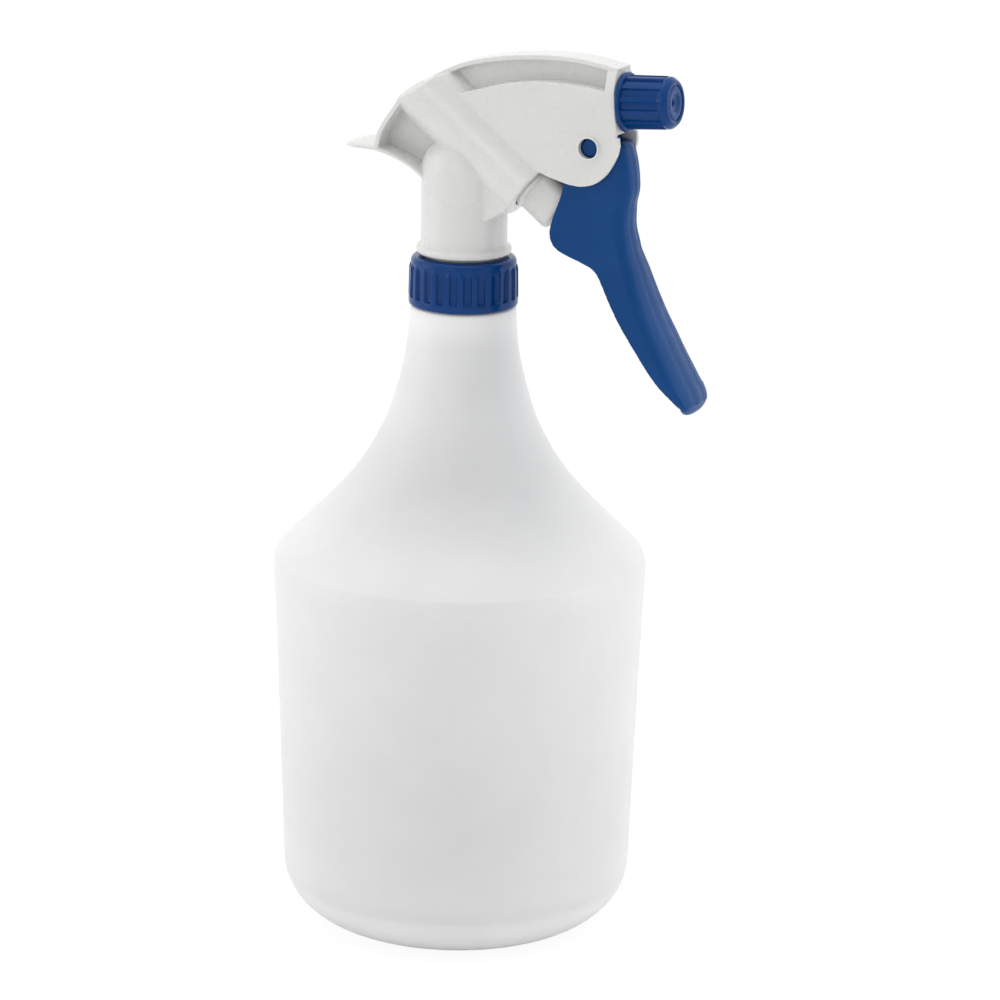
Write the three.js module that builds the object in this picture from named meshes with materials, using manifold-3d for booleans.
// Trigger spray bottle, about one litre, in millimetres.
// Frame: origin at the centre of the flat base, +Z up, +X toward the nozzle, Y across.
// Names ending in _R are radii, _Z heights.
import * as THREE from "three";
import { mergeVertices } from "three/addons/utils/BufferGeometryUtils.js";
import Module from "manifold-3d";

// ---- driving dimensions ----
// Bottle neck, its thread and the collar
const SHOULDER_R = 55.2;
const NECK_R = 12.5; // neck finish, under the thread
const NECK_BORE_R = 10.0;
const NECK_TOP = 197.0;
const THREAD_PITCH = 4.23; // 28/400 finish, six threads to the inch
const THREAD_TURNS = 1.25;
const THREAD_START_Z = 189.9;
const COLLAR_BOTTOM = 188.3;
const COLLAR_TOP = 202.5;
const COLLAR_R = 15.1;
const COLLAR_BORE_R = 14.1;
const COLLAR_RIB_R = 16.05;
const COLLAR_RIBS = 24;

// Stem of the sprayer and the parts inside it
const STEM_R = 12.56;
const STEM_TOP = 228.0; // where the dome starts
const STEM_DOME = 10.5; // height of the dome
const HOLDER_R = 5.9;
const TUBE_R = 3.0;
const TUBE_BORE_R = 2.1;
const BALL_R = 2.4; // inlet and outlet valves

// Pump cylinder: centre of its open end, and the unit vector out of it
const PUMP_X = 22.2;
const PUMP_Z = 225.1;
const PUMP_DX = 0.7844;
const PUMP_DZ = -0.6203;
const PUMP_R = 10.5; // outside
const PUMP_DROP = 0.77; // how far the outside's centre is below the bore's
const PUMP_LENGTH = 54.0; // before the crest trims it
const PUMP_BORE_R = 7.6;
const PUMP_BORE_DEPTH = 38.0;
const PISTON_R = 7.0;
const PISTON_OUT = 10.8; // how far the piston stands out of the cylinder at rest
const PISTON_HEAD_HALF = 4.4; // half-width of the head across Y

// Cheeks of the sprayer and the trigger pivot between them
const CHEEK_IN = 5.8;
const CHEEK_OUT = 7.3;
const PIVOT_X = 42.0;
const PIVOT_Z = 239.0;
const PIVOT_HOLE_R = 2.9;
const TRUNNION_R = 2.6;

// Nozzle: centre of its rear face, and its size
const NOZZLE_X = 50.0;
const NOZZLE_Z = 251.8;
const NOZZLE_TILT = THREE.MathUtils.degToRad(4.0); // the outlet points slightly up
const NOZZLE_LENGTH = 15.4;
const NOZZLE_R = 7.7;
const NOZZLE_RIBS = 12;

// ---- finishes ----
const BLUE = 0x1f5596;
const WHITE = 0xe9e9e6;
const MILK = 0xdfe0df;
const STEEL = 0xb9bcc0;
const DARK = 0x2b2c2e;
const NATURAL = 0xe4e6e4;

const FINISH = {
  bottle: { color: MILK, roughness: 0.45 },
  glossyBlue: { color: BLUE, roughness: 0.3 },
  triggerBlue: { color: BLUE, roughness: 0.45 },
  body: { color: WHITE, roughness: 0.35 },
  spinner: { color: WHITE, roughness: 0.4 },
  gasket: { color: NATURAL, roughness: 0.7 },
  filter: { color: NATURAL, roughness: 0.6 },
  insert: { color: NATURAL, roughness: 0.5 },
  tube: { color: NATURAL, roughness: 0.4 },
  seal: { color: DARK, roughness: 0.7 },
  ball: { color: STEEL, roughness: 0.15, metalness: 1.0 },
  spring: { color: STEEL, roughness: 0.3, metalness: 1.0 },
};

const wasm = await Module();
wasm.setup();

// ---- solids ----
// Welds a closed geometry into a Manifold, turned so that its faces point outward.
function solid(geometry) {
  geometry.deleteAttribute("normal");
  geometry.deleteAttribute("uv");
  const welded = mergeVertices(geometry, 1e-4);
  const positions = welded.attributes.position.array;
  const index = welded.index.array;
  const corner = (i) => new THREE.Vector3().fromArray(positions, 3 * i);
  const triangles = [];
  let volume = 0;
  for (let i = 0; i < index.length; i += 3) {
    const [a, b, c] = index.slice(i, i + 3);
    if (a === b || b === c || a === c) continue;
    triangles.push(a, b, c);
    volume += corner(a).dot(corner(b).cross(corner(c)));
  }
  if (volume < 0) {
    for (let i = 0; i < triangles.length; i += 3) {
      [triangles[i + 1], triangles[i + 2]] = [triangles[i + 2], triangles[i + 1]];
    }
  }
  return new wasm.Manifold(
    new wasm.Mesh({
      numProp: 3,
      vertProperties: new Float32Array(positions),
      triVerts: new Uint32Array(triangles),
    }),
  );
}

const union = (...solids) => solids.reduce((a, b) => a.add(b));
const cut = (body, ...tools) => tools.reduce((a, b) => a.subtract(b), body);

// ---- outlines ----
const closed = (points) => [...points, points[0]];

// Half an outline, any points on the centre line, then the half mirrored across Y.
function mirrorY(half, ...middle) {
  const mirrored = half.map(([x, y, ...rest]) => [x, -y, ...rest]).reverse();
  return [...half, ...middle, ...mirrored];
}

// A level oval with squared-off ends, centred on (centreX, 0).
function oval(centreX, radiusX, radiusY, z, count) {
  const soften = (value) => Math.sign(value) * Math.abs(value) ** 0.8;
  return Array.from({ length: count }, (_, i) => {
    const angle = (i / count) * 2 * Math.PI;
    return [
      centreX + radiusX * soften(Math.cos(angle)),
      radiusY * soften(Math.sin(angle)),
      z,
    ];
  });
}

// ---- geometries ----
// A body of revolution about +Z from [radius, height] pairs.
function lathe(points, segments) {
  const profile = points.map(([r, z]) => new THREE.Vector2(r, z));
  return new THREE.LatheGeometry(profile, segments).rotateX(Math.PI / 2);
}

const rod = (r, z0, z1, segments) =>
  lathe([[0, z0], [r, z0], [r, z1], [0, z1]], segments);

const pipe = (boreR, r, z0, z1, segments) =>
  lathe(closed([[boreR, z0], [r, z0], [r, z1], [boreR, z1]]), segments);

// A rod along Y from y0 to y1, centred on (x, z).
const crossRod = (r, y0, y1, x, z, segments) =>
  rod(r, 0, y1 - y0, segments).rotateX(Math.PI / 2).translate(x, y1, z);

const box = (sizeX, sizeY, sizeZ, x, y, z) =>
  new THREE.BoxGeometry(sizeX, sizeY, sizeZ).translate(x, y, z);

function ball(z) {
  const bands = 6;
  const points = [];
  for (let i = 0; i <= bands; i++) {
    const angle = -Math.PI / 2 + (i / bands) * Math.PI;
    const isPole = i === 0 || i === bands;
    points.push([isPole ? 0 : BALL_R * Math.cos(angle), BALL_R * Math.sin(angle)]);
  }
  return lathe(points, 12).translate(0, 0, z);
}

// A plan outline in (x, y), given height from z0 to z1.
function slab(points, z0, z1) {
  const shape = new THREE.Shape(points.map(([x, y]) => new THREE.Vector2(x, y)));
  const options = { depth: z1 - z0, bevelEnabled: false };
  return new THREE.ExtrudeGeometry(shape, options).translate(0, 0, z0);
}

// A side outline in (x, z), given thickness from y0 to y1.
function plate(points, y0, y1) {
  // The turn takes (x, z, depth) to (x, -depth, z).
  return slab(points, 0, y1 - y0).rotateX(Math.PI / 2).translate(0, y1, 0);
}

// A closed skin through rings that all hold the same number of points.
function loft(rings) {
  const count = rings[0].length;
  const index = [];
  for (let i = 0; i + 1 < rings.length; i++) {
    for (let j = 0; j < count; j++) {
      const a = i * count + j;
      const b = i * count + ((j + 1) % count);
      const c = a + count;
      const d = b + count;
      index.push(a, b, d, a, d, c);
    }
  }
  for (const [a, b, c] of capTriangles(rings[0])) index.push(a, c, b);
  const last = rings.length - 1;
  const base = last * count;
  for (const [a, b, c] of capTriangles(rings[last])) {
    index.push(base + a, base + b, base + c);
  }
  const geometry = new THREE.BufferGeometry();
  geometry.setAttribute("position", new THREE.Float32BufferAttribute(rings.flat(2), 3));
  geometry.setIndex(index);
  return geometry;
}

// Triangulates an end face of a loft in its own plane.
function capTriangles(ring) {
  const origin = new THREE.Vector3(...ring[0]);
  const offsets = ring.map((point) => new THREE.Vector3(...point).sub(origin));
  const normal = new THREE.Vector3();
  for (let k = 1; k + 1 < ring.length; k++) {
    normal.add(new THREE.Vector3().crossVectors(offsets[k], offsets[k + 1]));
  }
  normal.normalize();
  const u = offsets[Math.floor(ring.length / 2)].clone().normalize();
  const v = new THREE.Vector3().crossVectors(normal, u);
  const flat = offsets.map((offset) => new THREE.Vector2(offset.dot(u), offset.dot(v)));
  return THREE.ShapeUtils.triangulateShape(flat, []);
}

// A thread ridge on a right-hand helix, faded at both ends. It stands outward when
// crestR is above rootR and inward when below.
function thread({ rootR, crestR, rootHalf, crestHalf, startZ }) {
  const steps = Math.round(THREAD_TURNS * 16);
  const buriedR = rootR + (crestR > rootR ? -0.5 : 0.5); // sunk into the wall
  const rings = [];
  for (let i = 0; i <= steps; i++) {
    const turn = (i / steps) * THREAD_TURNS;
    const angle = turn * 2 * Math.PI;
    const fade = Math.min(1, 0.25 + (0.75 * Math.min(i, steps - i)) / 2);
    const fadedR = rootR + (crestR - rootR) * fade;
    const z = startZ + turn * THREAD_PITCH;
    const section = [
      [buriedR, -rootHalf],
      [rootR, -rootHalf],
      [fadedR, -crestHalf],
      [fadedR, crestHalf],
      [rootR, rootHalf],
      [buriedR, rootHalf],
    ];
    rings.push(
      section.map(([r, dz]) => [r * Math.cos(angle), r * Math.sin(angle), z + dz]),
    );
  }
  return loft(rings);
}

// A coil spring about +Z with flat-wound ends.
function coil({ meanR, wireR, z0, z1, turns }) {
  const steps = Math.round(turns * 9);
  const sides = 4;
  const endTurns = 0.8; // close-wound at each end
  const openRise = z1 - z0 - 2 * wireR - 3.2 * wireR;
  const rings = [];
  for (let i = 0; i <= steps; i++) {
    const turn = (i / steps) * turns;
    const angle = turn * 2 * Math.PI;
    const lead = Math.min(Math.max((turn - endTurns) / (turns - 2 * endTurns), 0), 1);
    const woundFlat = Math.min(turn, endTurns) + Math.max(turn - (turns - endTurns), 0);
    const z = z0 + wireR + openRise * lead + 2 * wireR * woundFlat;
    const section = [];
    for (let j = 0; j < sides; j++) {
      const around = (j / sides) * 2 * Math.PI;
      const r = meanR + wireR * Math.cos(around);
      section.push([
        r * Math.cos(angle),
        r * Math.sin(angle),
        z + wireR * Math.sin(around),
      ]);
    }
    rings.push(section);
  }
  return loft(rings);
}

// ---- tilted frames ----
// Local +Z is (dx, 0, dz), local Y stays across, local +X is Y cross Z.
function tiltedFrame(x, z, dx, dz) {
  const axis = new THREE.Vector3(dx, 0, dz);
  const across = new THREE.Vector3(0, 1, 0);
  const third = new THREE.Vector3().crossVectors(across, axis);
  return new THREE.Matrix4().makeBasis(third, across, axis).setPosition(x, 0, z);
}

// Pump: the open end of the cylinder is at 0, local +X points down and back.
const PUMP_FRAME = tiltedFrame(PUMP_X, PUMP_Z, PUMP_DX, PUMP_DZ);
// Nozzle: its rear face is at 0, local +X points down.
const NOZZLE_FRAME = tiltedFrame(
  NOZZLE_X,
  NOZZLE_Z,
  Math.cos(NOZZLE_TILT),
  Math.sin(NOZZLE_TILT),
);

const pumpSolid = (geometry) => solid(geometry.applyMatrix4(PUMP_FRAME));
const nozzleSolid = (geometry) => solid(geometry.applyMatrix4(NOZZLE_FRAME));

// Evenly spaced grip ribs about +Z, each from an outline in (radius, height).
function gripRibs(outline, halfWidth, count, toSolid) {
  return Array.from({ length: count }, (_, i) =>
    toSolid(
      plate(outline, -halfWidth, halfWidth).rotateZ(((i + 0.5) * 2 * Math.PI) / count),
    ),
  );
}

// ---- bottle: blow-moulded, tapered wall, cone shoulder, threaded neck ----
function bottle() {
  // [radius, height], up the outside
  const outside = [
    [0, 0], [29.8, 0], [37.3, 0.9], [43.9, 3.6], [48.8, 7.9], [51.5, 13.0],
    [52.2, 19.0], [52.9, 46], [53.7, 70], [54.4, 91], [54.95, 103],
    [SHOULDER_R, 107.5], [55.1, 110.8], [54.2, 113.5], [49.72, 118], [43.6, 124],
    [37.4, 130.4], [31.1, 137.8], [25.9, 146], [22.1, 154], [19.3, 162.4],
    [17.4, 170], [16.2, 177], [15.65, 184], [15.6, 187.2], [15.0, 187.9],
    [NECK_R, 187.9], [NECK_R, 196.4], [12.1, NECK_TOP],
  ];
  // [radius, height], down the inside
  const inside = [
    [10.4, NECK_TOP], [NECK_BORE_R, 196.5], [NECK_BORE_R, 186.5], [14.5, 180],
    [16.2, 170.4], [20.9, 154.4], [29.9, 138.2], [42.4, 123.6], [53.1, 113.0],
    [53.9, 109.5], [53.2, 91], [51.3, 24], [49.8, 13], [42.8, 4.9], [29.8, 1.9],
    [0, 1.9],
  ];
  const ridge = thread({
    rootR: NECK_R,
    crestR: 13.7,
    rootHalf: 0.95,
    crestHalf: 0.5,
    startZ: THREAD_START_Z,
  });
  return union(solid(lathe([...outside, ...inside], 40)), solid(ridge));
}

// ---- collar: ribbed screw cap ring with a thread and a hole for the sprayer ----
function screwCollar() {
  // [radius, height], up the outside and down the bore
  const shell = [
    [15.55, COLLAR_BOTTOM], [15.95, COLLAR_BOTTOM + 0.4], [16.0, COLLAR_BOTTOM + 2.1],
    [15.75, COLLAR_BOTTOM + 2.5], [COLLAR_R, COLLAR_BOTTOM + 2.8], [COLLAR_R, 198.9],
    [15.35, 199.8], [15.45, 200.8], [15.25, 201.7], [14.6, 202.3],
    [13.7, COLLAR_TOP], [11.4, COLLAR_TOP], [11.05, 202.2], [11.05, 200.45],
    [13.5, 200.45], [COLLAR_BORE_R, 199.8], [COLLAR_BORE_R, COLLAR_BOTTOM + 0.3],
    [14.4, COLLAR_BOTTOM],
  ];
  // [radius, height]
  const rib = [
    [COLLAR_R - 0.4, COLLAR_BOTTOM + 1.0],
    [COLLAR_RIB_R, COLLAR_BOTTOM + 1.6],
    [COLLAR_RIB_R - 0.15, 198.0],
    [COLLAR_RIB_R - 0.45, 199.2],
    [COLLAR_R - 0.4, 200.0],
  ];
  const ridge = thread({
    rootR: COLLAR_BORE_R,
    crestR: 12.95,
    rootHalf: 0.85,
    crestHalf: 0.45,
    startZ: THREAD_START_Z + THREAD_PITCH / 2, // half a pitch above the bottle's ridge
  });
  return union(
    solid(lathe(closed(shell), 36)),
    ...gripRibs(rib, 0.85, COLLAR_RIBS, solid),
    solid(ridge),
  );
}

// A flat ring just above the rim of the neck.
const neckGasket = () => solid(pipe(6.9, 12.2, 197.3, 198.6, 32));

// ---- sprayer body: one white moulding ----
// Outlines in (x, z), from the front backward for the crest, forward for the ledge.
const CREST = [
  [49.3, 261.8], [46.3, 262.4], [38.4, 263.6], [30.5, 263.9], [22.5, 263.5],
  [14.5, 262.6], [6.5, 261.1], [0.1, 259.2], [-6.5, 256.0], [-11.7, 252.9],
  [-14.6, 251.0], [-17.2, 249.0], [-18.6, 246.6], [-20.4, 244.0], [-22.2, 241.4],
  [-24.2, 237.9], [-25.1, 234.6], [-25.5, 232.6],
];
const LEDGE = [
  [0.7, 250.8], [7.9, 252.9], [14.4, 254.8], [21.0, 256.0], [27.5, 256.6],
  [34.1, 256.6], [40.6, 256.2], [47.7, 255.4],
];
const FLANGE_THICKNESS = 1.4;
const FLANGE_HALF = 4.6;
const REAR_FLANGE_HALF = 8.5;
const DECK_THICKNESS = 1.5;
const WEB_HALF = 1.4;
const GUSSET_HALF = 8.0;

function stem() {
  const dome = [];
  for (let i = 1; i < 6; i++) {
    const angle = (i / 6) * (Math.PI / 2);
    dome.push([STEM_R * Math.cos(angle), STEM_TOP + STEM_DOME * Math.sin(angle)]);
  }
  // [radius, height]
  const profile = [
    [0, 198.9], [12.2, 198.9], [12.2, 200.1], [10.7, 200.15], [10.7, 203.4],
    [13.3, 203.4], [13.75, 203.9], [13.85, 204.6], [13.75, 205.2], [13.3, 205.7],
    [STEM_R, 206.0], [STEM_R, STEM_TOP], ...dome, [0, STEM_TOP + STEM_DOME],
  ];
  return solid(lathe(profile, 48));
}

// The pump cylinder runs up under the crest, which cuts off its closed end.
function pumpCylinder() {
  const profile = [
    [0, 0],
    [PUMP_R - 0.5, 0],
    [PUMP_R, -0.5],
    [PUMP_R, -PUMP_LENGTH],
    [0, -PUMP_LENGTH],
  ];
  const belowCrest = CREST.map(([x, z]) => {
    const gap = x > -4 ? 1.5 : x > -9 ? 0.9 : 0.1;
    return [x, z - gap];
  });
  const envelope = [...belowCrest, [-25.5, 200], [49.3, 200]];
  return pumpSolid(lathe(profile, 40).translate(PUMP_DROP, 0, 0)).intersect(
    solid(plate(envelope, -12, 12)),
  );
}

// Fills the corner between the stem and the cylinder.
function gusset() {
  const outline = [
    [3.0, 232.0], [9.6, 224.0], [9.6, 214.5], [12.3, 215.9], [16.2, 218.6],
    [19.6, 222.0], [10.0, 236.0],
  ];
  return solid(plate(outline, -GUSSET_HALF, GUSSET_HALF));
}

// The two side walls, which carry the pivot.
function cheeks() {
  const outline = [
    ...LEDGE,
    [49.0, 250.0], [49.9, 243.0], [51.1, 242.5], [51.3, 240.2], [50.8, 237.7],
    [49.6, 235.1], [47.9, 232.3], [45.9, 230.2], [43.4, 228.6], [40.3, 227.8],
    [37.4, 227.8], [34.8, 228.2], [30.6, 229.3], [26.6, 230.6], [22.0, 230.0],
    [-2.0, 248.0],
  ];
  return union(
    solid(plate(outline, -CHEEK_OUT, -CHEEK_IN)),
    solid(plate(outline, CHEEK_IN, CHEEK_OUT)),
  );
}

// The thin floor that follows the top of the cheeks.
function deck() {
  const underside = LEDGE.map(([x, z]) => [x, z - DECK_THICKNESS]).reverse();
  const half = CHEEK_OUT - 0.01;
  return solid(plate([...LEDGE, ...underside], -half, half));
}

// The flange along the crest; behind the cylinder it widens to meet the saddle.
function flanges() {
  const under = CREST.map(([x, z], i) => {
    const [x0, z0] = CREST[Math.max(0, i - 1)];
    const [x1, z1] = CREST[Math.min(CREST.length - 1, i + 1)];
    const dx = x1 - x0;
    const dz = z1 - z0;
    const length = Math.hypot(dx, dz);
    return [
      x - (dz / length) * FLANGE_THICKNESS,
      z + (dx / length) * FLANGE_THICKNESS,
    ];
  });
  const strip = (start, half) =>
    solid(plate([...CREST.slice(start), ...under.slice(start).reverse()], -half, half));
  const rearStart = CREST.findIndex(([x]) => x < -9);
  return [strip(0, FLANGE_HALF), strip(rearStart, REAR_FLANGE_HALF)];
}

// The thin upright wall on the centre plane, under the crest.
function web() {
  const outline = [
    ...CREST.map(([x, z]) => [x, z - 0.6]),
    [-24.9, 232.4], [-20.3, 231.3], [-16.8, 230.0], [-13.0, 228.2], [-9.6, 225.8],
    [4.0, 222.0], [16.0, 232.0], [20.0, 250.0], [48.0, 252.0],
  ];
  return solid(plate(outline, -WEB_HALF, WEB_HALF));
}

// The saddle that rests on the hand, with the tail behind it.
function saddle() {
  // (x, z): forward along the top, back along the underside
  const side = [
    [-35.9, 233.5], [-33.0, 233.7], [-28.0, 233.7], [-24.3, 233.4], [-20.3, 232.5],
    [-16.8, 231.2], [-13.0, 229.4], [-9.6, 227.2], [-6.5, 224.5], [-8.0, 223.3],
    [-10.2, 225.6], [-13.3, 227.8], [-16.8, 229.6], [-20.5, 230.9], [-24.5, 231.9],
    [-28.0, 232.2], [-32.4, 232.3], [-35.9, 232.3],
  ];
  // (x, y): the +Y half, front to rear
  const halfPlan = [
    [-5.0, 8.9], [-31.8, 8.9], [-33.6, 8.4], [-34.9, 7.2], [-35.6, 5.5], [-35.8, 3.5],
  ];
  const plan = mirrorY(halfPlan, [-35.8, 0]);
  return solid(plate(side, -10, 10)).intersect(solid(slab(plan, 215, 240)));
}

// The block behind the nozzle, the outlet pipe and the nose that carries the cap.
function outletParts() {
  // Nozzle frame: [down, across], the +Y half
  const halfBlock = [[-9.5, 4.6], [-8.2, 5.7], [-5.6, 6.9], [-3.6, 7.29], [8.6, 7.29]];
  // [radius, distance forward], with the groove of the nozzle seal
  const nose = [
    [0, -1.0], [5.0, -1.0], [5.0, 5.6], [4.25, 5.6], [4.25, 6.9], [5.0, 6.9],
    [5.0, 8.6], [4.7, 9.0], [0, 9.0],
  ];
  return [
    nozzleSolid(slab(mirrorY(halfBlock), -3.2, -0.35)),
    nozzleSolid(rod(4.5, -44.0, -0.5, 28)),
    nozzleSolid(lathe(nose, 32)),
  ];
}

// Round bosses on the cheeks, about the pivot holes.
function pivotBosses() {
  const near = CHEEK_IN + 0.1;
  const far = CHEEK_OUT + 0.9;
  return [[-far, -near], [near, far]].map(([y0, y1]) =>
    solid(crossRod(3.5, y0, y1, PIVOT_X, PIVOT_Z, 24)),
  );
}

function sprayerBody() {
  const moulding = union(
    stem(),
    pumpCylinder(),
    gusset(),
    cheeks(),
    deck(),
    ...flanges(),
    web(),
    saddle(),
    ...outletParts(),
    ...pivotBosses(),
  );
  return cut(
    moulding,
    pumpSolid(rod(PUMP_BORE_R, -PUMP_BORE_DEPTH, 1.0, 40)),
    solid(rod(6.2, 198.0, 216.0, 32)), // socket of the tube holder
    solid(rod(2.2, 215.0, 237.0, 20)), // riser to the pump chamber
    nozzleSolid(rod(1.8, -46.0, -35.0, 20)), // outlet, narrow end
    nozzleSolid(rod(3.3, -36.0, 10.0, 28)), // outlet, wide end
    solid(crossRod(PIVOT_HOLE_R, -10, 10, PIVOT_X, PIVOT_Z, 24)),
  );
}

// ---- inlet: tube holder, ball valve, dip tube and strainer ----
// Plugs into the stem, holds the dip tube, seats the inlet ball.
function tubeHolder() {
  // [radius, height]
  const profile = [
    [3.3, 188.0], [4.6, 188.0], [4.8, 196.0], [HOLDER_R, 196.4], [HOLDER_R, 213.2],
    [3.4, 213.2], [3.4, 206.2], [1.6, 205.0], [1.6, 203.2], [3.3, 203.2],
  ];
  return solid(lathe(closed(profile), 20));
}

// A disc with a centre hole and four smaller ones around it.
function ballRetainer() {
  const holeCircleR = 2.5;
  const outerHoles = [0, 1, 2, 3].map((i) => {
    const angle = ((i + 0.5) * Math.PI) / 2;
    const x = holeCircleR * Math.cos(angle);
    const y = holeCircleR * Math.sin(angle);
    return solid(rod(0.8, 213, 216, 8).translate(x, y, 0));
  });
  return cut(
    solid(rod(HOLDER_R, 213.5, 215.6, 20)),
    solid(rod(1.3, 213, 216, 12)),
    ...outerHoles,
  );
}

const inletBall = () => solid(ball(206.95));

const dipTube = () => solid(pipe(TUBE_BORE_R, TUBE_R, 13.0, 202.8, 20));

// A cup over the foot of the dip tube, with three slots cut right through it.
function dipTubeFilter() {
  // [radius, height]
  const cup = [
    [0, 4.0], [4.4, 4.0], [4.8, 4.6], [4.8, 21.4], [4.4, 22.0], [3.3, 22.0],
    [3.3, 12.4], [3.6, 12.0], [3.6, 5.4], [0, 5.4],
  ];
  const slots = [0, 1, 2].map((i) =>
    solid(box(12, 1.6, 5.2, 0, 0, 8.8).rotateZ(((i + 0.5) * Math.PI) / 3)),
  );
  return cut(solid(lathe(cup, 18)), ...slots);
}

// ---- piston with its two seals and the return spring, in the pump frame ----
const PISTON_SEAL_Z = -8.75;
const VENT_SEAL_Z = -3.05;
const SEAL_GROOVE_R = 6.1;
const SEAL_GROOVE_HALF = 0.85;

function piston() {
  const grooves = [PISTON_SEAL_Z, VENT_SEAL_Z].flatMap((z) => [
    [PISTON_R, z - SEAL_GROOVE_HALF],
    [SEAL_GROOVE_R, z - SEAL_GROOVE_HALF],
    [SEAL_GROOVE_R, z + SEAL_GROOVE_HALF],
    [PISTON_R, z + SEAL_GROOVE_HALF],
  ]);
  const profile = [
    [0, -10.5],
    [PISTON_R, -10.5],
    ...grooves,
    [PISTON_R, 0.6],
    [6.4, 1.2],
    [0, 1.2],
  ];
  // The head outside the cylinder is oval, so that it passes between the trigger's walls.
  // [distance out, scale of the piston radius, scale of the head's half-width]
  const headStations = [
    [0.4, 0.995, 0.99],
    [5.0, 0.99, 1],
    [9.0, 0.99, 1],
    [10.2, 0.95, 0.95],
    [PISTON_OUT, 0.84, 0.84],
  ];
  const head = headStations.map(([z, scaleX, scaleY]) =>
    oval(0, PISTON_R * scaleX, PISTON_HEAD_HALF * scaleY, z, 24),
  );
  const springPocket = pumpSolid(rod(4.7, -11.0, -0.2, 28));
  return cut(union(pumpSolid(lathe(profile, 26)), pumpSolid(loft(head))), springPocket);
}

// A ring with a shallow waist between its two lips.
function pistonSeal(z) {
  const innerR = 6.3;
  const lipR = 7.45;
  const half = 0.6;
  const profile = [
    [innerR, z - half],
    [lipR, z - half],
    [7.25, z],
    [lipR, z + half],
    [innerR, z + half],
  ];
  return pumpSolid(lathe(closed(profile), 26));
}

const returnSpring = () =>
  pumpSolid(coil({ meanR: 3.7, wireR: 0.5, z0: -37.6, z1: -0.6, turns: 8 }));

// ---- trigger: a channel open to the rear, with its trunnions ----
const TRIGGER_WALL = 1.15;
const TRIGGER_FRONT_WALL = 2.05;
const PAD_OUT = 13.6; // distance of the pad's axis from the cylinder's open end

// [height, front, rear edge, half-width]
const TRIGGER_STATIONS = [
  [240.6, 50.4, 38.6, 5.5], [239.8, 51.6, 38.0, 5.5], [238.0, 52.4, 37.6, 5.5],
  [235.0, 53.2, 36.6, 5.5], [231.0, 53.8, 35.0, 5.5], [227.5, 54.0, 33.5, 5.5],
  [225.2, 53.7, 33.1, 5.5], [223.0, 53.2, 32.5, 5.7], [220.5, 53.0, 31.7, 6.05],
  [217.5, 52.9, 30.7, 6.35], [215.0, 53.2, 30.1, 6.5], [213.0, 53.7, 30.0, 6.7],
  [211.4, 54.1, 30.4, 6.85], [210.0, 54.4, 31.2, 7.05], [208.8, 54.8, 32.6, 7.25],
  [207.7, 55.3, 34.9, 7.45], [206.7, 55.7, 37.9, 7.65], [205.6, 56.2, 41.2, 7.85],
  [204.3, 56.8, 44.2, 8.05], [202.5, 57.5, 46.0, 8.3], [200.0, 58.5, 47.5, 8.65],
  [195.5, 60.4, 50.0, 9.2], [190.5, 62.8, 53.0, 9.65], [185.8, 65.4, 56.3, 9.95],
  [181.0, 67.9, 59.9, 10.25], [176.4, 70.5, 63.4, 10.4], [173.0, 72.4, 66.4, 10.35],
  [170.6, 73.9, 68.9, 10.0], [168.6, 74.8, 70.9, 9.4], [167.2, 75.1, 72.1, 8.5],
];

// The closed tip of the handle: [height, front, rear, half-width]
const TIP_STATIONS = [
  [171.5, 73.2, 69.4, 9.8],
  [169.0, 74.6, 70.6, 9.4],
  [167.2, 75.1, 71.4, 8.6],
  [165.6, 74.7, 71.6, 6.9],
  [164.3, 73.6, 71.6, 4.2],
];

// The front is crowned and its edges well rounded; the channel is flat inside.
function triggerSection([z, front, rear, half]) {
  const rounding = Math.min(5.2, (front - rear) * 0.62);
  const outside = [[rear, -half, z]];
  for (let k = 0; k <= 6; k++) {
    const angle = (k / 6) * (Math.PI / 2);
    outside.push([
      front - rounding + rounding * Math.sin(angle),
      -half * (1 - 0.7 * (1 - Math.cos(angle) ** 0.78)),
      z,
    ]);
  }
  const innerHalf = half - TRIGGER_WALL;
  const innerFront = front - TRIGGER_FRONT_WALL;
  const inside = [
    [rear, innerHalf, z],
    [Math.max(innerFront - rounding * 0.75, rear + 0.2), innerHalf, z],
    [innerFront - rounding * 0.25, innerHalf * 0.86, z],
    [innerFront, innerHalf * 0.45, z],
  ];
  return [...mirrorY(outside, [front + 0.25, 0, z]), ...mirrorY(inside)];
}

function trigger() {
  const tip = TIP_STATIONS.map(([z, front, rear, half]) =>
    oval((front + rear) / 2, (front - rear) / 2, half, z, 20),
  );
  const hub = crossRod(5.3, -5.5, 5.5, PIVOT_X, PIVOT_Z, 28);
  const trunnions = crossRod(TRUNNION_R, -6.5, 6.5, PIVOT_X, PIVOT_Z, 24);
  // The rounded rib that pushes the piston.
  const padX = PUMP_X + PAD_OUT * PUMP_DX;
  const padZ = PUMP_Z + PAD_OUT * PUMP_DZ;
  const pad = crossRod(2.5, -5.4, 5.4, padX, padZ, 20);
  // A level plate across the channel, below the pad.
  const crossPlate = plate(
    [[32.9, 217.6], [51.2, 217.6], [51.2, 215.9], [32.9, 215.9]],
    -5.3,
    5.3,
  );
  const channel = loft(TRIGGER_STATIONS.map(triggerSection));
  return union(...[channel, loft(tip), hub, trunnions, pad, crossPlate].map(solid));
}

// ---- outlet valve and nozzle, in the nozzle frame ----
const outletBall = () => nozzleSolid(ball(-34.24));

const outletSpring = () =>
  nozzleSolid(coil({ meanR: 2.3, wireR: 0.35, z0: -31.4, z1: -24.6, turns: 5 }));

const outletSleeve = () => nozzleSolid(pipe(1.8, 3.0, -24.3, 4.3, 24));

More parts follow.
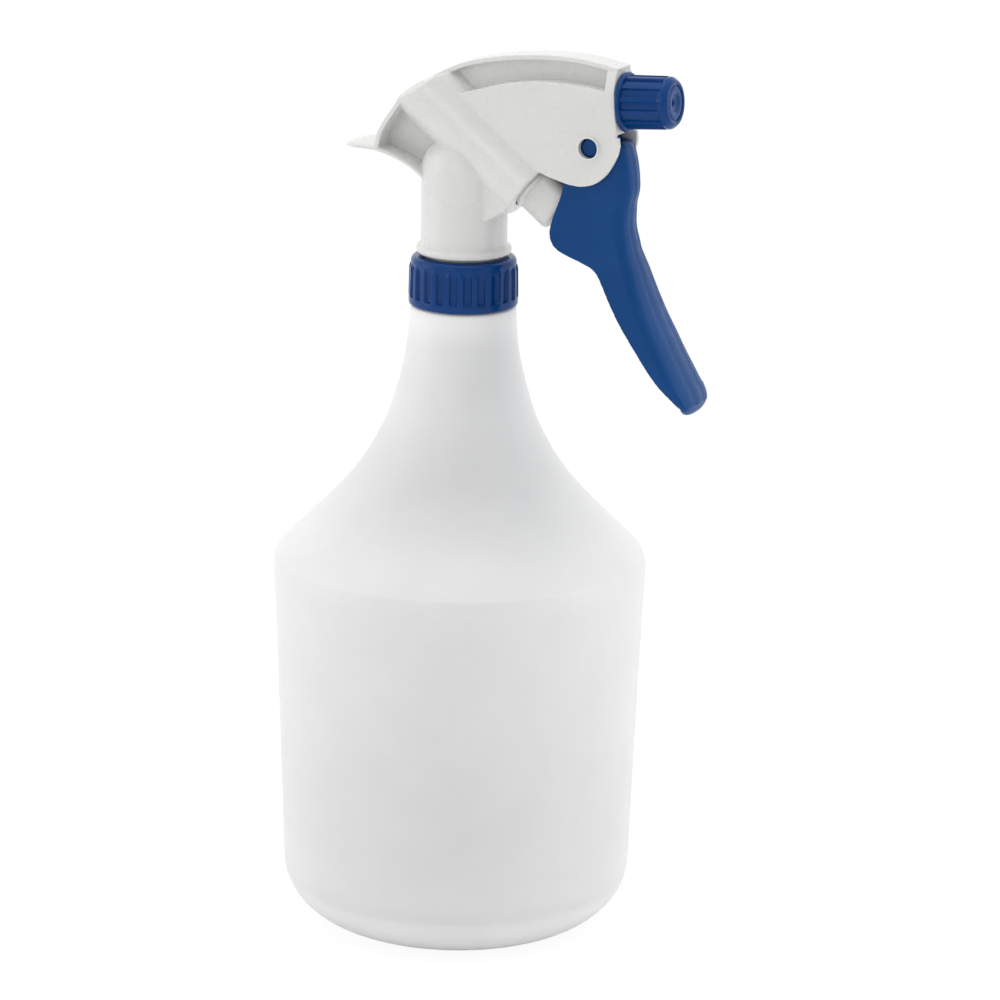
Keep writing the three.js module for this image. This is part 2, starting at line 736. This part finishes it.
function spinner() {
  // [radius, distance forward]
  const profile = [
    [0, 4.6], [2.4, 4.6], [2.4, 8.2], [3.0, 8.4], [3.0, 12.6], [2.6, 13.4], [0, 13.4],
  ];
  const feedGrooves = [1, -1].map((side) => box(1.2, 1.0, 9.6, 2.7 * side, 0, 9.0));
  const swirlSlots = [1, -1].map((side) =>
    box(2.6, 0.6, 0.8, 1.7 * side, 0.5 * side, 13.4),
  );
  return cut(
    nozzleSolid(lathe(profile, 24)),
    ...[...feedGrooves, ...swirlSlots].map(nozzleSolid),
  );
}

// A ring of round section in the groove of the nose.
function nozzleSeal() {
  const majorR = 4.92;
  const minorR = 0.45;
  const sides = 6;
  const section = [];
  for (let i = 0; i < sides; i++) {
    const angle = (i / sides) * 2 * Math.PI;
    section.push([majorR + minorR * Math.cos(angle), 6.25 + minorR * Math.sin(angle)]);
  }
  return nozzleSolid(lathe(closed(section), 24));
}

function nozzleCap() {
  // [radius, distance forward]: forward along the outside, back through the bore
  const shell = [
    [5.5, 0], [8.2, 0], [8.5, 0.3], [8.5, 1.0], [8.2, 1.3], [NOZZLE_R - 0.75, 1.3],
    [NOZZLE_R - 0.95, 12.9], [7.35, 13.1], [7.4, 13.9], [6.9, 14.8],
    [6.1, NOZZLE_LENGTH], [5.3, NOZZLE_LENGTH], [5.2, 14.8], [4.8, 14.8],
    [4.7, 15.2], [2.9, 15.2], [2.3, 14.5], [0.6, 14.5], [0.6, 13.7], [3.3, 13.7],
    [3.3, 10.6], [5.5, 10.2],
  ];
  // [radius, distance forward]
  const rib = [
    [NOZZLE_R - 1.4, 0.8],
    [NOZZLE_R, 0.8],
    [NOZZLE_R - 0.1, 12.2],
    [NOZZLE_R - 0.35, 13.3],
    [NOZZLE_R - 1.4, 13.3],
  ];
  return union(
    nozzleSolid(lathe(closed(shell), 30)),
    ...gripRibs(rib, 0.8, NOZZLE_RIBS, nozzleSolid),
  );
}

// ---- assembly ----
function toMesh(name, piece, finish) {
  const { vertProperties, triVerts } = piece.getMesh();
  const geometry = new THREE.BufferGeometry();
  geometry.setAttribute("position", new THREE.Float32BufferAttribute(vertProperties, 3));
  geometry.setIndex(new THREE.BufferAttribute(triVerts, 1));
  geometry.computeVertexNormals();
  const mesh = new THREE.Mesh(geometry, new THREE.MeshStandardMaterial(finish));
  mesh.name = name;
  return mesh;
}

const root = new THREE.Group();
root.name = "spray_bottle";
root.add(
  toMesh("bottle", bottle(), FINISH.bottle),
  toMesh("screw_collar", screwCollar(), FINISH.glossyBlue),
  toMesh("neck_gasket", neckGasket(), FINISH.gasket),
  toMesh("sprayer_body", sprayerBody(), FINISH.body),
  toMesh("tube_holder", tubeHolder(), FINISH.insert),
  toMesh("ball_retainer", ballRetainer(), FINISH.insert),
  toMesh("inlet_ball", inletBall(), FINISH.ball),
  toMesh("dip_tube", dipTube(), FINISH.tube),
  toMesh("dip_tube_filter", dipTubeFilter(), FINISH.filter),
  toMesh("piston", piston(), FINISH.body),
  toMesh("piston_seal", pistonSeal(PISTON_SEAL_Z), FINISH.seal),
  toMesh("vent_seal", pistonSeal(VENT_SEAL_Z), FINISH.seal),
  toMesh("return_spring", returnSpring(), FINISH.spring),
  toMesh("trigger", trigger(), FINISH.triggerBlue),
  toMesh("outlet_ball", outletBall(), FINISH.ball),
  toMesh("outlet_spring", outletSpring(), FINISH.spring),
  toMesh("outlet_sleeve", outletSleeve(), FINISH.insert),
  toMesh("spinner", spinner(), FINISH.spinner),
  toMesh("nozzle_seal", nozzleSeal(), FINISH.seal),
  toMesh("nozzle_cap", nozzleCap(), FINISH.glossyBlue),
);

export default root;
